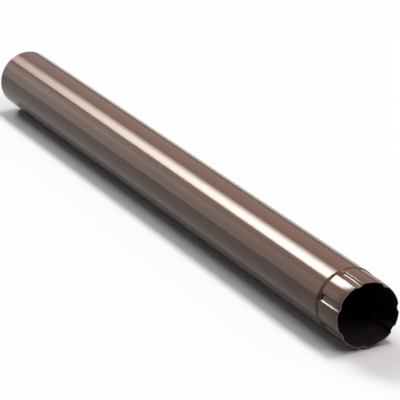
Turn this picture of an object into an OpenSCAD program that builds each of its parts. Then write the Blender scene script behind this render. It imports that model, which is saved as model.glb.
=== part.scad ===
// Round steel downpipe for a roof gutter, made from one coated sheet.
// The sheet is rolled round, closed by a flat lock seam along its whole length, and drawn in at
// one end to a fluted spigot, which slips into the plain end of the next pipe.
// Millimetres. The pipe lies along X with the spigot towards +X. It rests on Z = 0, on its round
// body and on one edge of the seam, as a seamed pipe comes to lie.

/* [Pipe] */

// outside diameter of the plain body
pipe_d = 100; // [60:1:160]
// overall length, spigot included
pipe_len = 1250; // [300:10:3000]
// thickness of the coated sheet
sheet_t = 0.5; // [0.4:0.05:1.2]

/* [Spigot] */

// length of the drawn-in end, from the top of the shoulder to the mouth
spigot_len = 58.5; // [35:0.5:90]
// length of the S-shaped shoulder, part of the spigot's length
shoulder_len = 6; // [3:0.5:12]
// gap all round between the spigot's root and the bore that it slips into
slip_gap = 0.7; // [0.3:0.05:1.5]
// how much the radius draws in further between the shoulder and the mouth
mouth_draw = 0.95; // [0.2:0.05:2.5]

/* [Flutes] */

// number of flutes pressed into the spigot
flute_count = 7; // [4:1:8]
// depth of a flute, which takes up the sheet that the smaller girth leaves over
flute_depth = 2.4; // [1:0.1:4]
// width of the flat at the bottom of a flute
flute_floor = 1.6; // [0:0.2:6]
// width that each rounded wall of a flute takes
flute_wall = 5.4; // [4:0.2:8]
// how much more sharply a wall turns at the flute's edge than at its floor, 1 for the same
flute_skew = 1.7; // [1:0.1:2]
// length over which a flute runs out at the shoulder
flute_runout = 10; // [6:0.5:18]
// turn between the seam and the middle of the flute on either side of it
flute_seam_turn = 32.4; // [26:0.1:40]

/* [Seam] */

// width of the flattened lock seam
seam_w = 9; // [5:0.5:12]
// height that its three outer layers stand above the sheet
seam_h = 1.6; // [1:0.1:2.4]
// width of the band that is pressed flat round the seam on the spigot
seam_flat_w = 22; // [14:0.5:26]

/* [Hidden] */

coat = [0.27, 0.18, 0.15];
past = 2;
steps = 8;
$fn = 180;

body_r = pipe_d / 2;
root_r = body_r - sheet_t - slip_gap;
mouth_r = root_r - mouth_draw;
body_len = pipe_len - spigot_len;
root_z = body_len + shoulder_len;
taper = atan(mouth_draw / (pipe_len - root_z));

// the flutes stand evenly round, but the last one is set aside to keep clear of the seam
flute_pitch = 360 / flute_count;
flute_half = flute_floor / 2 + flute_wall;

// height of the flat band over the axis, as a share of the round radius
flat_share = cos(asin(seam_flat_w / 2 / mouth_r));

// turn of the seam from straight up, so that its edge and the round body both touch the ground
seam_turn = 180 - acos(body_r / norm([body_r + seam_h, seam_w / 2]))
    - atan(seam_w / 2 / (body_r + seam_h));

// sagitta of the round body across the seam, so that the strip is rooted in the sheet
seam_sag = body_r - sqrt(body_r * body_r - seam_w * seam_w / 4);
seam_root = (seam_sag + sheet_t) / 2;

// ---- shared outlines ----

// radius of the round outer face at z, from the plain end
function skin(z) =
    z <= body_len ? body_r :
    z <= root_z ? body_r - (body_r - root_r) * rise((z - body_len) / shoulder_len) :
    root_r - (z - root_z) * tan(taper);

// a smooth S from 0 to 1
function rise(u) = (1 - cos(180 * u)) / 2;

// the straight step from q through p, as far again
function beyond(q, p) = 2 * p - q;

// height of the outer face over the axis at the seam: round body, flat band on the spigot
function seat_line() = [
    [body_r, -past],
    [body_r, body_len],
    [flat_share * root_r, root_z],
    [flat_share * skin(pipe_len + past), pipe_len + past]];

// turns a shape drawn straight above the axis to its place round the pipe
module at_turn(turn) {
    rotate([0, 0, -turn])
        children();
}

// extrudes an outline of [height over the axis, z] sideways, w wide
module side_profile(w) {
    rotate([90, 0, 90])
        linear_extrude(height = w, center = true)
            children();
}

// ---- the pipe's faces: g = 0 is the outer face, g = sheet_t the inner one ----

module round_form(g, z0, z1) {
    rotate_extrude()
        polygon(concat(
            [[0, z0], [body_r - g, z0]],
            [for (i = [0:steps])
                let (z = body_len + shoulder_len * i / steps)
                [skin(z) - g, z]],
            [[skin(z1) - g, z1], [0, z1]]));
}

// everything below the flat band; on the body it clears the round face
module below_seat(g) {
    line = seat_line();
    side_profile(pipe_d + 2 * past)
        polygon([
            [-body_r - past, -2 * past],
            [body_r + past, -2 * past],
            [body_r + past, body_len],
            line[1] - [g, 0],
            line[2] - [g, 0],
            line[3] - [g, 0],
            [-body_r - past, pipe_len + past]]);
}

// half of a flute's cross-section, from its floor out past the round face
function flute_edge(g) =
    let (p = [for (i = [0:steps])
        let (u = i / steps,
             v = pow(u, flute_skew),
             x = flute_floor / 2 + flute_wall * u,
             h = sqrt(mouth_r * mouth_r - x * x),
             dv = flute_skew * pow(u, flute_skew - 1) / flute_wall,
             m = flute_depth * PI / 2 * sin(180 * v) * dv - x / h,
             n = norm([1, m]))
        [x + g * m / n, h - flute_depth * (1 - rise(v)) - g / n]])
    concat(p, [beyond(p[steps - 1], p[steps])]);

// a flute's floor and run-out, seen from the side
function flute_line(g) =
    let (low = skin(root_z) - flute_depth,
         high = body_r,
         foot_z = body_len + flute_runout,
         p = [for (i = [0:steps])
            let (u = i / steps,
                 m = (high - low) * PI / 2 * sin(180 * u) / flute_runout,
                 n = norm([1, m]))
            [low + (high - low) * rise(u) - g / n, foot_z - flute_runout * u - g * m / n]])
    concat([beyond(p[1], p[0])], p, [beyond(p[steps - 1], p[steps])]);

module flute(g) {
    edge = flute_edge(g);
    line = flute_line(g);
    top = body_r + 2 * past;
    intersection() {
        translate([0, 0, pipe_len])
            rotate([taper, 0, 0])
                translate([0, 0, -spigot_len - 2 * past])
                    linear_extrude(height = spigot_len + 4 * past)
                        polygon(concat(
                            edge,
                            [[edge[steps + 1][0], top], [-edge[steps + 1][0], top]],
                            [for (i = [steps + 1:-1:0]) [-edge[i][0], edge[i][1]]]));
        side_profile(4 * flute_half)
            polygon(concat(
                [[line[0][0], pipe_len + 2 * past]],
                line,
                [[top, line[steps + 2][1]], [top, pipe_len + 2 * past]]));
    }
}

// the solid that the face g in from the outside encloses
module enclosed(g) {
    z0 = g > 0 ? -past : 0;
    z1 = g > 0 ? pipe_len + past : pipe_len;
    difference() {
        intersection() {
            round_form(g, z0, z1);
            below_seat(g);
        }
        for (i = [0:flute_count - 1])
            at_turn(i < flute_count - 1 ? flute_seam_turn + flute_pitch * i : -flute_seam_turn)
                flute(g);
    }
}

// ---- sub-parts ----

// the folded layers of the lock seam, pressed flat outside the sheet
module lock_seam() {
    line = seat_line();
    intersection() {
        side_profile(seam_w)
            polygon(concat(
                [for (p = line) p + [seam_h, 0]],
                [for (i = [3:-1:0]) line[i] - [seam_root, 0]]));
        translate([-seam_w, 0, 0])
            cube([2 * seam_w, body_r + 2 * past, pipe_len]);
    }
}

// sheet, seam and spigot are one rolled piece
module downpipe() {
    color(coat)
        translate([-pipe_len / 2, 0, body_r])
            rotate([90, 0, 90])
                at_turn(seam_turn)
                    union() {
                        difference() {
                            enclosed(0);
                            enclosed(sheet_t);
                        }
                        lock_seam();
                    }
}

downpipe();
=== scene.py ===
"""Looks of a round steel downpipe: a rolled, lock-seamed sheet with a fluted spigot, coated glossy brown."""
import math

import bmesh
import bpy
from mathutils import Matrix, Vector


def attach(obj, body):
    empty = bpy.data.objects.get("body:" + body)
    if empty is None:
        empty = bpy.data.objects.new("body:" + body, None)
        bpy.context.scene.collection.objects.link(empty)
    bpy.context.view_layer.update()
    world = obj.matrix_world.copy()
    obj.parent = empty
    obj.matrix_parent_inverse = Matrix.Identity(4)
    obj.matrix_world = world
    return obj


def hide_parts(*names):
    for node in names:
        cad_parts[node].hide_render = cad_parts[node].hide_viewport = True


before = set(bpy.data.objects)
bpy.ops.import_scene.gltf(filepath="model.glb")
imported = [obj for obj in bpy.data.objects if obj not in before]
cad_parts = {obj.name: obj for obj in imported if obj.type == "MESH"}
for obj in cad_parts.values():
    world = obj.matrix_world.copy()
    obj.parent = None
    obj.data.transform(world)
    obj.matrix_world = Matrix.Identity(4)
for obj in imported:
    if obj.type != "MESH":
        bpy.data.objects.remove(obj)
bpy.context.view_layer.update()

MM = 0.001
FULL_TURN = 2 * math.pi

# ---- sizes as in the part's source, in millimetres and degrees ----

BODY_R = 50.0
PIPE_LEN = 1250.0
SHEET = 0.5
SPIGOT_LEN = 58.5
SHOULDER_LEN = 6.0
ROOT_R = 48.8
MOUTH_R = 47.85
FLUTES = 7
FLUTE_DEPTH = 2.4
FLUTE_FLOOR = 1.6
FLUTE_WALL = 5.4
FLUTE_SKEW = 1.7
FLUTE_SEAM_TURN = 32.4
SEAM_W = 9.0
SEAM_H = 1.6
SEAM_FLAT_W = 22.0

BODY_LEN = PIPE_LEN - SPIGOT_LEN
ROOT_Z = BODY_LEN + SHOULDER_LEN
# height of the flat band over the axis, as a share of the round radius
FLAT_SHARE = math.cos(math.asin(SEAM_FLAT_W / 2 / MOUTH_R))
# turn of the seam from straight up, at which one of its edges and the body touch the ground together
SEAM_TURN = 180 - math.degrees(
    math.acos(BODY_R / math.hypot(BODY_R + SEAM_H, SEAM_W / 2)) + math.atan(SEAM_W / 2 / (BODY_R + SEAM_H)))

# ---- forms that the part's source has plainer or not at all, in millimetres ----

# how late the spigot draws in towards its mouth, where 1 would be a straight taper
MOUTH_CURVE = 3.5
# where a flute starts past the body's end, and the length in which it reaches its floor
FLUTE_LEAD, FLUTE_RUNOUT = 6.0, 5.0
# how softly the run-out meets the floor, and how much deeper it aims, so that the floor keeps its depth
FLUTE_BLEND, FLUTE_SPARE = 0.5, 0.6
# how softly the flat band meets the round wall
BAND_BLEND = 0.35
# the band ends at this cosine of the turn from the seam, and past it is pushed away outwards
BAND_REACH, BAND_AWAY = 0.6, 1000.0
# the smallest cosine by which the band's height is divided
BAND_COSINE_MIN = 0.5

# rings of points along the sheet, the points in each, and the share of the rings that the plain body gets
RINGS, POINTS_ROUND, BODY_RING_SHARE = 76, 600, 0.16
# how far before the shoulder the close rings begin
CLOSE_RINGS_LEAD = 3.0
# points closer than this are one, in metres, which closes the sheet at the seam
WELD = 0.00001
# a face whose normal points at least this much along the pipe is part of a cut edge
CUT_FACING = 0.9
# edges that turn by more than this many degrees are shaded sharp
SHARP_TURN = 38


# ---- node helpers ----

def new_socket(tree, name, kind, value=None, way="INPUT"):
    """Adds one named socket to a tree's interface."""
    made = tree.interface.new_socket(name=name, in_out=way, socket_type=kind)
    if value is not None:
        made.default_value = value


class Term:
    """A value inside a node tree that takes part in sums, so a form's rule reads as its formula."""

    def __init__(self, tree, socket):
        self.tree, self.socket = tree, socket

    def math(self, operation, *others):
        """Adds one Math node, with this value first."""
        made = self.tree.nodes.new("ShaderNodeMath")
        made.operation = operation
        for place, value in zip(made.inputs, (self, *others)):
            feed(self.tree, place, value)
        return Term(self.tree, made.outputs[0])

    def __add__(self, other): return self.math("ADD", other)
    def __radd__(self, other): return self.math("ADD", other)
    def __sub__(self, other): return self.math("SUBTRACT", other)
    def __rsub__(self, other): return self.math("MULTIPLY", -1.0).math("ADD", other)
    def __mul__(self, other): return self.math("MULTIPLY", other)
    def __truediv__(self, other): return self.math("DIVIDE", other)

    def ramp(self, lo, hi, to_lo=0.0, to_hi=1.0, smooth=False):
        """Goes from to_lo to to_hi while the value goes from lo to hi, and stays there."""
        settings = {"interpolation_type": "SMOOTHSTEP" if smooth else "LINEAR", "clamp": True}
        made = node(self.tree, "ShaderNodeMapRange", settings, Value=self, From_Min=lo, From_Max=hi,
                    To_Min=to_lo, To_Max=to_hi)
        return Term(self.tree, made.outputs["Result"])


def feed(tree, place, value):
    """Links a term or another node's output to a socket, or sets the socket to a plain value."""
    if isinstance(value, Term):
        value = value.socket
    if isinstance(value, bpy.types.NodeSocket):
        tree.links.new(value, place)
    else:
        place.default_value = value


def node(tree, kind, settings=None, **inputs):
    """Adds a node; inputs are given by name, with spaces written as underscores."""
    made = tree.nodes.new(kind)
    for key, value in (settings or {}).items():
        setattr(made, key, value)
    for key, value in inputs.items():
        feed(tree, made.inputs[key.replace("_", " ")], value)
    return made


def given_inputs(tree):
    """The tree's own inputs as terms, by name."""
    return {s.name: Term(tree, s) for s in node(tree, "NodeGroupInput").outputs if s.name}


def object_place(tree):
    """A point's place on the piece, in metres."""
    return Term(tree, node(tree, "ShaderNodeTexCoord").outputs["Object"])


def noise(tree, place, scale, detail, roughness=0.5):
    """A cloudy mask from 0 to 1; scale is how many of its spots go into a metre of the given place."""
    made = node(tree, "ShaderNodeTexNoise", Vector=place, Scale=scale, Detail=detail, Roughness=roughness)
    return Term(tree, made.outputs["Fac"])


def drift(mask, amount):
    """Spreads a mask from 0 to 1 over minus to plus an amount."""
    return (mask - 0.5) * amount * 2.0


def new_material(name):
    """A material with its node tree and its shader."""
    mat = bpy.data.materials.new(name)
    mat.use_nodes = True
    return mat, mat.node_tree, mat.node_tree.nodes["Principled BSDF"]


def add_object(name, data):
    """Puts a new object with the given mesh or camera into the scene."""
    made = bpy.data.objects.new(name, data)
    bpy.context.collection.objects.link(made)
    return made


# ---- materials ----

# the rolling lines' stretch: long along the pipe, fine across it
LINE_STRETCH = (0.6, 60.0, 60.0)
# share that the slow drift has in the changes of gloss; the rolling lines have the rest
SLOW_SHARE = 0.6
# the cut edge's darker and lighter steel, each with its place in the grit
EDGE_STEEL = ((0.35, (0.40, 0.37, 0.35)), (0.65, (0.62, 0.59, 0.57)))
# its roughness goes from the third to the fourth number while the grit goes from the first to the second
EDGE_ROUGHNESS = (0.3, 0.7, 0.35, 0.55)
EDGE_METALLIC = 0.3


def coat_skin_group():
    """Fine texture of a coil-coated sheet: orange peel, faint rolling lines, and a slow drift of tone."""
    tree = bpy.data.node_groups.new("coat_skin", "ShaderNodeTree")
    new_socket(tree, "Tone", "NodeSocketColor")
    for name in ("Tone Drift", "Roughness", "Roughness Drift", "Peel Size", "Line Strength"):
        new_socket(tree, name, "NodeSocketFloat")
    new_socket(tree, "Color", "NodeSocketColor", way="OUTPUT")
    new_socket(tree, "Rough", "NodeSocketFloat", way="OUTPUT")
    new_socket(tree, "Height", "NodeSocketFloat", way="OUTPUT")
    given = given_inputs(tree)

    place = object_place(tree)
    stretched = node(tree, "ShaderNodeMapping", Vector=place, Scale=LINE_STRETCH).outputs["Vector"]
    slow = noise(tree, place, scale=9.0, detail=3.0, roughness=0.6)
    lines = noise(tree, stretched, scale=6.0, detail=4.0, roughness=0.55)
    peel = noise(tree, place, scale=given["Peel Size"].math("POWER", -1.0), detail=1.5, roughness=0.45)

    tone = node(tree, "ShaderNodeVectorMath", {"operation": "SCALE"},
                Vector=given["Tone"], Scale=drift(slow, given["Tone Drift"]) + 1.0)
    gloss_mask = slow * SLOW_SHARE + lines * (1 - SLOW_SHARE)
    node(tree, "NodeGroupOutput", Color=tone.outputs[0],
         Rough=given["Roughness"] + drift(gloss_mask, given["Roughness Drift"]),
         Height=peel + lines * given["Line Strength"])
    return tree


coat_skin = coat_skin_group()


def coated_material(name, relief, ior, metallic, **skin_inputs):
    """A coil coat: its colour, gloss and fine relief come from the coat's skin; relief is in metres."""
    mat, tree, shader = new_material(name)
    skin = node(tree, "ShaderNodeGroup", {"node_tree": coat_skin}, **skin_inputs)
    bump = node(tree, "ShaderNodeBump", Strength=1.0, Distance=relief, Height=skin.outputs["Height"])
    shader.inputs["IOR"].default_value = ior
    shader.inputs["Metallic"].default_value = metallic
    feed(tree, shader.inputs["Base Color"], skin.outputs["Color"])
    feed(tree, shader.inputs["Roughness"], skin.outputs["Rough"])
    feed(tree, shader.inputs["Normal"], bump.outputs["Normal"])
    return mat


def cut_edge_material():
    """Bare sheared edge of the galvanised sheet: dull steel with a fine grit."""
    mat, tree, shader = new_material("cut_steel_edge")
    grit = noise(tree, object_place(tree), scale=900.0, detail=2.0)
    steel = node(tree, "ShaderNodeValToRGB", Fac=grit)
    for stop, (position, colour) in zip(steel.color_ramp.elements, EDGE_STEEL):
        stop.position, stop.color = position, (*colour, 1)
    shader.inputs["Metallic"].default_value = EDGE_METALLIC
    feed(tree, shader.inputs["Base Color"], steel.outputs["Color"])
    feed(tree, shader.inputs["Roughness"], grit.ramp(*EDGE_ROUGHNESS))
    return mat


brown_coat = coated_material(
    "brown_gloss_coat", relief=0.000004, ior=1.22, metallic=0.05,
    Tone=(0.182, 0.091, 0.063, 1), Tone_Drift=0.06, Roughness=0.13, Roughness_Drift=0.04,
    Peel_Size=0.0035, Line_Strength=0.5)
back_coat = coated_material(
    "dark_back_coat", relief=0.000008, ior=1.4, metallic=0.0,
    Tone=(0.050, 0.040, 0.036, 1), Tone_Drift=0.10, Roughness=0.34, Roughness_Drift=0.08,
    Peel_Size=0.002, Line_Strength=0.8)
cut_edge = cut_edge_material()


# ---- the rolled sheet ----

def round_wall(g, z, from_seam):
    """Radius of the wall without its flutes: body, shoulder, drawn-in end, and the band pressed flat."""
    root_z = g["Body Length"] + g["Shoulder Length"]
    # the end draws in more and more towards its mouth
    towards_mouth = z.ramp(root_z, g["Pipe Length"]).math("POWER", g["Mouth Curve"])
    drawn = towards_mouth * (g["Root Radius"] - g["Mouth Radius"])
    shoulder = (g["Body Radius"] - g["Root Radius"]) * z.ramp(g["Body Length"], root_z, smooth=True)
    wall = g["Body Radius"] - shoulder - drawn

    flat = z.ramp(g["Body Length"], root_z, g["Body Radius"], g["Flat Share"] * g["Root Radius"])
    flat = flat - g["Flat Share"] * drawn
    facing = from_seam.math("COSINE")
    away = (BAND_REACH - facing).math("MAXIMUM", 0.0) * BAND_AWAY
    band = flat / facing.math("MAXIMUM", BAND_COSINE_MIN) + away
    return wall.math("SMOOTH_MIN", band, BAND_BLEND)


def flute_press(g, z, from_seam):
    """Depth of the flutes, evenly round from the first, with the last set aside to clear the seam."""
    pitch = g["Flute Count"].math("POWER", -1.0) * FULL_TURN
    turn = from_seam - g["Flute Seam Turn"]
    number = (turn / pitch + 0.5).math("FLOOR")
    last = number.math("COMPARE", g["Flute Count"] - 1.0, 0.5)
    centre = number * pitch * (1.0 - last) + last * (FULL_TURN - g["Flute Seam Turn"] * 2.0)
    across = ((turn - centre) * g["Mouth Radius"]).math("ABSOLUTE")
    floor_half = g["Flute Floor"] / 2.0
    rise = across.ramp(floor_half, floor_half + g["Flute Wall"]).math("POWER", g["Flute Skew"])
    press = rise.ramp(0.0, 1.0, g["Flute Depth"], 0.0, smooth=True)

    # a flute starts at the shoulder's foot and runs down to its floor
    start = g["Body Length"] + g["Flute Lead"]
    run = z.ramp(start, start + g["Flute Run Out"], smooth=True)
    return press.math("SMOOTH_MIN", run * (g["Flute Depth"] + FLUTE_SPARE), FLUTE_BLEND).math("MAXIMUM", 0.0)


def roll_sheet_tree():
    """Rolls a flat blank round the axis, draws in its end and presses the flutes, all by rule."""
    tree = bpy.data.node_groups.new("roll_sheet", "GeometryNodeTree")
    tree.is_modifier = True
    for name, value in (
            ("Body Radius", BODY_R), ("Pipe Length", PIPE_LEN), ("Body Length", BODY_LEN),
            ("Shoulder Length", SHOULDER_LEN), ("Root Radius", ROOT_R), ("Mouth Radius", MOUTH_R),
            ("Mouth Curve", MOUTH_CURVE), ("Flute Count", FLUTES), ("Flute Depth", FLUTE_DEPTH),
            ("Flute Floor", FLUTE_FLOOR), ("Flute Wall", FLUTE_WALL), ("Flute Skew", FLUTE_SKEW),
            ("Flute Lead", FLUTE_LEAD), ("Flute Run Out", FLUTE_RUNOUT),
            ("Flute Seam Turn", math.radians(FLUTE_SEAM_TURN)), ("Seam Turn", math.radians(SEAM_TURN)),
            ("Flat Share", FLAT_SHARE), ("Points Round", POINTS_ROUND), ("Rings", RINGS),
            ("Body Rings", BODY_RING_SHARE), ("Scale", MM)):
        new_socket(tree, name, "NodeSocketFloat", value)
    new_socket(tree, "Material", "NodeSocketMaterial")
    new_socket(tree, "Pipe", "NodeSocketGeometry", way="OUTPUT")
    g = given_inputs(tree)

    blank = node(tree, "GeometryNodeMeshGrid", Size_X=1.0, Size_Y=1.0,
                 Vertices_X=g["Rings"], Vertices_Y=g["Points Round"])
    on_blank = node(tree, "ShaderNodeSeparateXYZ", Vector=node(tree, "GeometryNodeInputPosition").outputs[0])
    along = Term(tree, on_blank.outputs["X"]) + 0.5
    from_seam = (Term(tree, on_blank.outputs["Y"]) + 0.5) * FULL_TURN

    # few rings on the straight body, most on the spigot and just before it
    plain = g["Body Length"] - CLOSE_RINGS_LEAD
    z = (along.ramp(0.0, g["Body Rings"], 0.0, plain)
         + along.ramp(g["Body Rings"], 1.0, 0.0, g["Pipe Length"] - plain))
    radius = (round_wall(g, z, from_seam) - flute_press(g, z, from_seam)) * g["Scale"]
    angle = g["Seam Turn"] + from_seam
    spot = node(tree, "ShaderNodeCombineXYZ", X=(z - g["Pipe Length"] / 2.0) * g["Scale"],
                Y=angle.math("SINE") * radius,
                Z=angle.math("COSINE") * radius + g["Body Radius"] * g["Scale"])

    rolled = node(tree, "GeometryNodeSetPosition", Geometry=blank.outputs["Mesh"], Position=spot.outputs[0])
    closed = node(tree, "GeometryNodeMergeByDistance", Geometry=rolled.outputs["Geometry"], Distance=WELD)
    real = node(tree, "GeometryNodeRealizeInstances", Geometry=closed.outputs["Geometry"])
    coated = node(tree, "GeometryNodeSetMaterial", Geometry=real.outputs["Geometry"], Material=g["Material"])
    node(tree, "NodeGroupOutput", Pipe=coated.outputs["Geometry"])
    return tree


def make_sheet():
    """The whole rolled sheet at its thickness: coated outside and inside, bare steel on its cut ends."""
    blank = add_object("blank", bpy.data.meshes.new("blank"))
    materials = (brown_coat, back_coat, cut_edge)
    for m in materials:
        blank.data.materials.append(m)
    roll = blank.modifiers.new("roll_sheet", "NODES")
    roll.node_group = roll_sheet_tree()
    roll[roll.node_group.interface.items_tree["Material"].identifier] = brown_coat
    wall = blank.modifiers.new("sheet", "SOLIDIFY")
    wall.thickness = SHEET * MM
    wall.offset = -1
    wall.use_even_offset = True
    wall.material_offset = 1

    mesh = bpy.data.meshes.new_from_object(blank.evaluated_get(bpy.context.evaluated_depsgraph_get()))
    mesh.name = "pipe_sheet"
    bpy.data.objects.remove(blank)
    slots = [p.material_index for p in mesh.polygons]
    mesh.materials.clear()
    for m in materials:
        mesh.materials.append(m)
    # the outer faces have the lowest slot, the inner ones the next; only the cut edges face along the pipe
    outside = min(slots)
    for p, slot in zip(mesh.polygons, slots):
        p.material_index = 2 if abs(p.normal.x) > CUT_FACING else slot - outside
    return add_object("pipe_sheet", mesh)


# ---- the lock seam ----

# stretches between the seam's outlines: on the plain body, and on the shoulder and on the spigot each
BODY_STATIONS, END_STATIONS = 4, 6


def arc(cx, cy, r, start, end, steps):
    """Points along an arc, from one angle in degrees to another."""
    angles = [math.radians(start + (end - start) * i / steps) for i in range(steps + 1)]
    return [(cx + r * math.cos(a), cy + r * math.sin(a)) for a in angles]


def ribbon(path, thick):
    """Outline of a sheet of the given thickness bent along a path."""
    left, right = [], []
    for i, (x, y) in enumerate(path):
        a, b = path[max(i - 1, 0)], path[min(i + 1, len(path) - 1)]
        n = math.hypot(b[0] - a[0], b[1] - a[1])
        nx, ny = -(b[1] - a[1]) / n * thick / 2, (b[0] - a[0]) / n * thick / 2
        left.append((x + nx, y + ny))
        right.append((x - nx, y - ny))
    return left + right[::-1]


def seat(z):
    """Height of the sheet's outer face over the axis, along the middle of the seam."""
    if z <= BODY_LEN:
        return BODY_R
    if z <= ROOT_Z:
        return BODY_R + (FLAT_SHARE * ROOT_R - BODY_R) * (z - BODY_LEN) / SHOULDER_LEN
    return FLAT_SHARE * (ROOT_R - (ROOT_R - MOUTH_R) * ((z - ROOT_Z) / (PIPE_LEN - ROOT_Z)) ** MOUTH_CURVE)


def sweep(name, outline, stations):
    """Carries a ribbon's outline, as (across, height over the seat), along the seam, with bare steel ends."""
    turn = math.radians(SEAM_TURN)
    verts, faces, slots = [], [], []
    for z in stations:
        for x, h in outline:
            y = seat(z) + h
            verts.append(((z - PIPE_LEN / 2) * MM, (math.sin(turn) * y + math.cos(turn) * x) * MM,
                          (math.cos(turn) * y - math.sin(turn) * x + BODY_R) * MM))
    n = len(outline)
    for s in range(len(stations) - 1):
        for i in range(n):
            j = (i + 1) % n
            faces.append((s * n + i, s * n + j, (s + 1) * n + j, (s + 1) * n + i))
            slots.append(0)
    for s in (0, len(stations) - 1):
        for i in range(n // 2 - 1):
            faces.append((s * n + i, s * n + i + 1, s * n + n - 2 - i, s * n + n - 1 - i))
            slots.append(1)
    mesh = bpy.data.meshes.new(name)
    mesh.from_pydata(verts, [], faces)
    for m in (brown_coat, cut_edge):
        mesh.materials.append(m)
    mesh.polygons.foreach_set("material_index", slots)
    mesh.update()
    turn_outward(mesh)
    return add_object(name, mesh)


def turn_outward(mesh):
    """Points all faces of a closed mesh outwards."""
    work = bmesh.new()
    work.from_mesh(mesh)
    bmesh.ops.recalc_face_normals(work, faces=work.faces)
    work.to_mesh(mesh)
    work.free()


def make_seam():
    """The seam's two layers that show: the covering sheet with its round fold, and the hook inside it."""
    # each is a little thinner than the sheet, and they stand a little further apart, so that they can be told
    thick, step = SHEET * 0.97, SHEET * 1.06
    low, mid, high = (-SHEET / 2 + step * i for i in (1, 2, 3))
    edge = -SEAM_W / 2
    reach = SEAM_W / 2 - step - thick / 2
    # up from the wall at one edge, over the top, round the fold at the other and back under
    cover = [(edge - 2.0, -SHEET * 0.6), (edge - 1.2, 0.0), (edge - 0.5, high * 0.45),
             (edge + 0.1, high * 0.85), (edge + 0.8, high)]
    cover += arc(reach, (low + high) / 2, (high - low) / 2, 90, -90, steps=10)
    cover += [(-reach + 0.8, low)]
    # round its own fold at the first edge, and on between the cover's two layers
    hook = arc(-reach + 0.2, (mid - SHEET / 2) / 2, (mid + SHEET / 2) / 2, 270, 90, steps=8)
    hook += [(reach - 0.9, mid)]
    stations = [BODY_LEN * i / BODY_STATIONS for i in range(BODY_STATIONS)]
    stations += [BODY_LEN + SHOULDER_LEN * i / END_STATIONS for i in range(END_STATIONS + 1)]
    stations += [ROOT_Z + (PIPE_LEN - ROOT_Z) * i / END_STATIONS for i in range(1, END_STATIONS + 1)]
    return (sweep("seam_cover", ribbon(cover, thick), stations),
            sweep("seam_hook", ribbon(hook, thick), stations))


sheet = make_sheet()
for piece in (sheet, *make_seam()):
    for p in piece.data.polygons:
        p.use_smooth = True
    piece.data.set_sharp_from_angle(angle=math.radians(SHARP_TURN))
    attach(piece, "root")
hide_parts("downpipe")


# ---- floor, light and camera ----

# half the floor's side, in metres
FLOOR_HALF = 60.0
# the floor is pale to the camera and in reflections, and dark where it lights the pipe from below
FLOOR_PALE, FLOOR_BOUNCE = 0.95, 0.10

# Two angles in degrees tell a direction in the studio. One is the turn round the pipe's axis, 0 straight up
# and more towards +Y. The other is the angle off -X, the way in which the pipe's plain end points.

# the dim air between the softboxes, and how softly it begins at the horizon
AIR, HORIZON_SOFT = 0.03, 0.01
# each row: turn from and to, off angle from and to, softness of the long sides and of the ends, strength
SOFTBOXES = (
    (-88.0, -58.0, 24.0, 40.0, 3.0, 4.0, 2.05),  # low on the -Y side
    (-58.0, -44.4, 24.0, 40.0, 3.0, 4.0, 2.4),  # above that one
    (-44.4, -25.0, 24.0, 40.0, 3.0, 4.0, 1.45),  # up to the strip
    (-50.0, -32.0, 20.0, 29.0, 4.0, 4.0, 0.72),  # more, towards the plain end
    (22.0, 50.0, 24.0, 40.0, 6.0, 4.0, 0.7),  # on the +Y side
    (50.0, 77.0, 24.0, 40.0, 6.0, 4.0, 0.6),  # low on the +Y side
)
# the keys light the floor and the top of the pipe, and their rows read the same way
KEYS = (
    (14.0, 26.0, 46.0, 55.0, 3.0, 3.0, 8.7),  # past the strip's end
    (10.0, 22.0, 77.0, 103.0, 3.0, 8.0, 15.2),  # over the middle
    (10.0, 22.0, 122.0, 146.0, 3.0, 8.0, 12.0),  # over the spigot's end
    (-10.0, 66.0, 50.0, 140.0, 16.0, 8.0, 0.13),  # wide and faint
)
KEY_COLOUR = (1.0, 0.955, 0.97)

# the long strip light makes the highlight: it rises over the first turns and falls over the second
STRIP_LOW, STRIP_HIGH = (-26.4, -19.8), (-8.1, 22.0)
# how much each edge leans for a degree of the off angle from its pivot, the high one only below its pivot
STRIP_LOW_LEAN, STRIP_LOW_PIVOT = 0.6, 34.0
STRIP_HIGH_LEAN, STRIP_HIGH_PIVOT = 0.75, 31.0
# the off angle that it reaches, and how much less on the -Y side, for a degree of turn and at a round corner
STRIP_END, STRIP_SLANT = 40.7, 0.10
STRIP_ROUND, STRIP_ROUND_TURN, STRIP_ROUND_POWER = 1.2, 20.0, 4.0
# the softness of that end, and how much more for a degree of turn on the -Y side
STRIP_END_SOFT, STRIP_END_FADE = 0.4, 0.06
# the off angles over which it grows, and its strength at both
STRIP_GROWTH = (24.3, 36.0, 0.0, 36.0)
# the off angles over which its colour turns from the far one to the near one
STRIP_COLOUR_TURN = (27.5, 32.0)
STRIP_FAR_COLOUR = (0.90, 0.86, 0.79)
STRIP_NEAR_COLOUR = (0.90, 1.0, 0.98)


def make_floor():
    """A matt floor that keeps the pipe's shadow."""
    mesh = bpy.data.meshes.new("studio_floor")
    s = FLOOR_HALF
    mesh.from_pydata([(-s, -s, 0), (s, -s, 0), (s, s, 0), (-s, s, 0)], [], [(0, 1, 2, 3)])
    floor = add_object("studio_floor", mesh)
    mat, tree, shader = new_material("pale_floor")
    shader.inputs["Roughness"].default_value = 1.0
    shader.inputs["Specular IOR Level"].default_value = 0.0
    rays = node(tree, "ShaderNodeLightPath").outputs
    seen = Term(tree, rays["Is Camera Ray"])
    for ray in ("Is Glossy Ray", "Is Transmission Ray"):
        seen = seen.math("MAXIMUM", rays[ray])
    shade = seen.ramp(0.0, 1.0, FLOOR_BOUNCE, FLOOR_PALE)
    grey = node(tree, "ShaderNodeCombineColor", Red=shade, Green=shade, Blue=shade)
    feed(tree, shader.inputs["Base Color"], grey.outputs[0])
    mesh.materials.append(mat)


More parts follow.
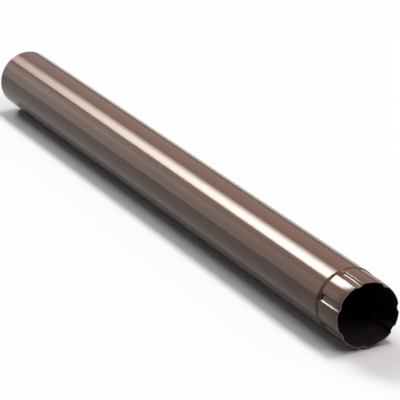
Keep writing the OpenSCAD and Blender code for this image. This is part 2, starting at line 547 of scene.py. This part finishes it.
def make_world():
    """Paints the studio's softboxes, keys and strip on the sky."""
    world = bpy.data.worlds.new("studio")
    bpy.context.scene.world = world
    world.use_nodes = True
    tree = world.node_tree
    sky = node(tree, "ShaderNodeSeparateXYZ", Vector=node(tree, "ShaderNodeTexCoord").outputs["Generated"])
    x, y, z = (Term(tree, sky.outputs[axis]) for axis in "XYZ")
    turn = y.math("ARCTAN2", z) * (180 / math.pi)
    off = (x * -1.0).math("ARCCOSINE") * (180 / math.pi)

    def band(value, lo, hi, soft):
        rise = value.ramp(lo - soft / 2, lo + soft / 2, smooth=True)
        return rise * value.ramp(hi - soft / 2, hi + soft / 2, 1.0, 0.0, smooth=True)

    def boxes(rows):
        return sum(band(turn, turn_lo, turn_hi, soft_sides) * band(off, off_lo, off_hi, soft_ends) * strength
                   for turn_lo, turn_hi, off_lo, off_hi, soft_sides, soft_ends, strength in rows)

    fill = z.ramp(-HORIZON_SOFT, HORIZON_SOFT) * AIR + boxes(SOFTBOXES)
    keys = boxes(KEYS)
    # the strip's end falls back towards its low corner, and is softer there
    below = (turn * -1.0).math("MAXIMUM", 0.0)
    corner = (below / STRIP_ROUND_TURN).math("POWER", STRIP_ROUND_POWER) * STRIP_ROUND
    reach = STRIP_END - below * STRIP_SLANT - corner
    end = ((reach - off) / (below * STRIP_END_FADE + STRIP_END_SOFT)).ramp(-1.0, 1.0, smooth=True)
    low = ((off - STRIP_LOW_PIVOT) * STRIP_LOW_LEAN + turn).ramp(*STRIP_LOW, smooth=True)
    high = (off - STRIP_HIGH_PIVOT).math("MINIMUM", 0.0) * STRIP_HIGH_LEAN + turn
    high = high.ramp(*STRIP_HIGH, 1.0, 0.0, smooth=True)
    strip = low * high * end * off.ramp(*STRIP_GROWTH)
    light = node(tree, "ShaderNodeCombineColor")
    for place, key, far, near in zip(light.inputs, KEY_COLOUR, STRIP_FAR_COLOUR, STRIP_NEAR_COLOUR):
        feed(tree, place, fill + keys * key + strip * off.ramp(*STRIP_COLOUR_TURN, far, near))
    feed(tree, tree.nodes["Background"].inputs["Color"], light.outputs[0])


def make_camera(aim, distance, azimuth, elevation, roll, lens):
    """Aims a long lens at a point of the pipe; roll leans the camera's own up to the right."""
    a, e = math.radians(azimuth), math.radians(elevation)
    back = Vector((math.sin(a) * math.cos(e), -math.cos(a) * math.cos(e), math.sin(e)))
    data = bpy.data.cameras.new("camera")
    data.lens = lens
    data.sensor_width = 36
    data.clip_start, data.clip_end = 0.1, 100
    camera = add_object("camera", data)
    turn = (-back).to_track_quat("-Z", "Y").to_matrix() @ Matrix.Rotation(math.radians(-roll), 3, "Z")
    camera.matrix_world = Matrix.Translation(Vector(aim) + back * distance) @ turn.to_4x4()
    bpy.context.scene.camera = camera


make_floor()
make_world()
make_camera(aim=(0.0928, -0.0011, 0.0489), distance=3.9469,
            azimuth=66.2, elevation=20.838, roll=4.069, lens=232.3)

bpy.context.scene.view_settings.view_transform = "Standard"
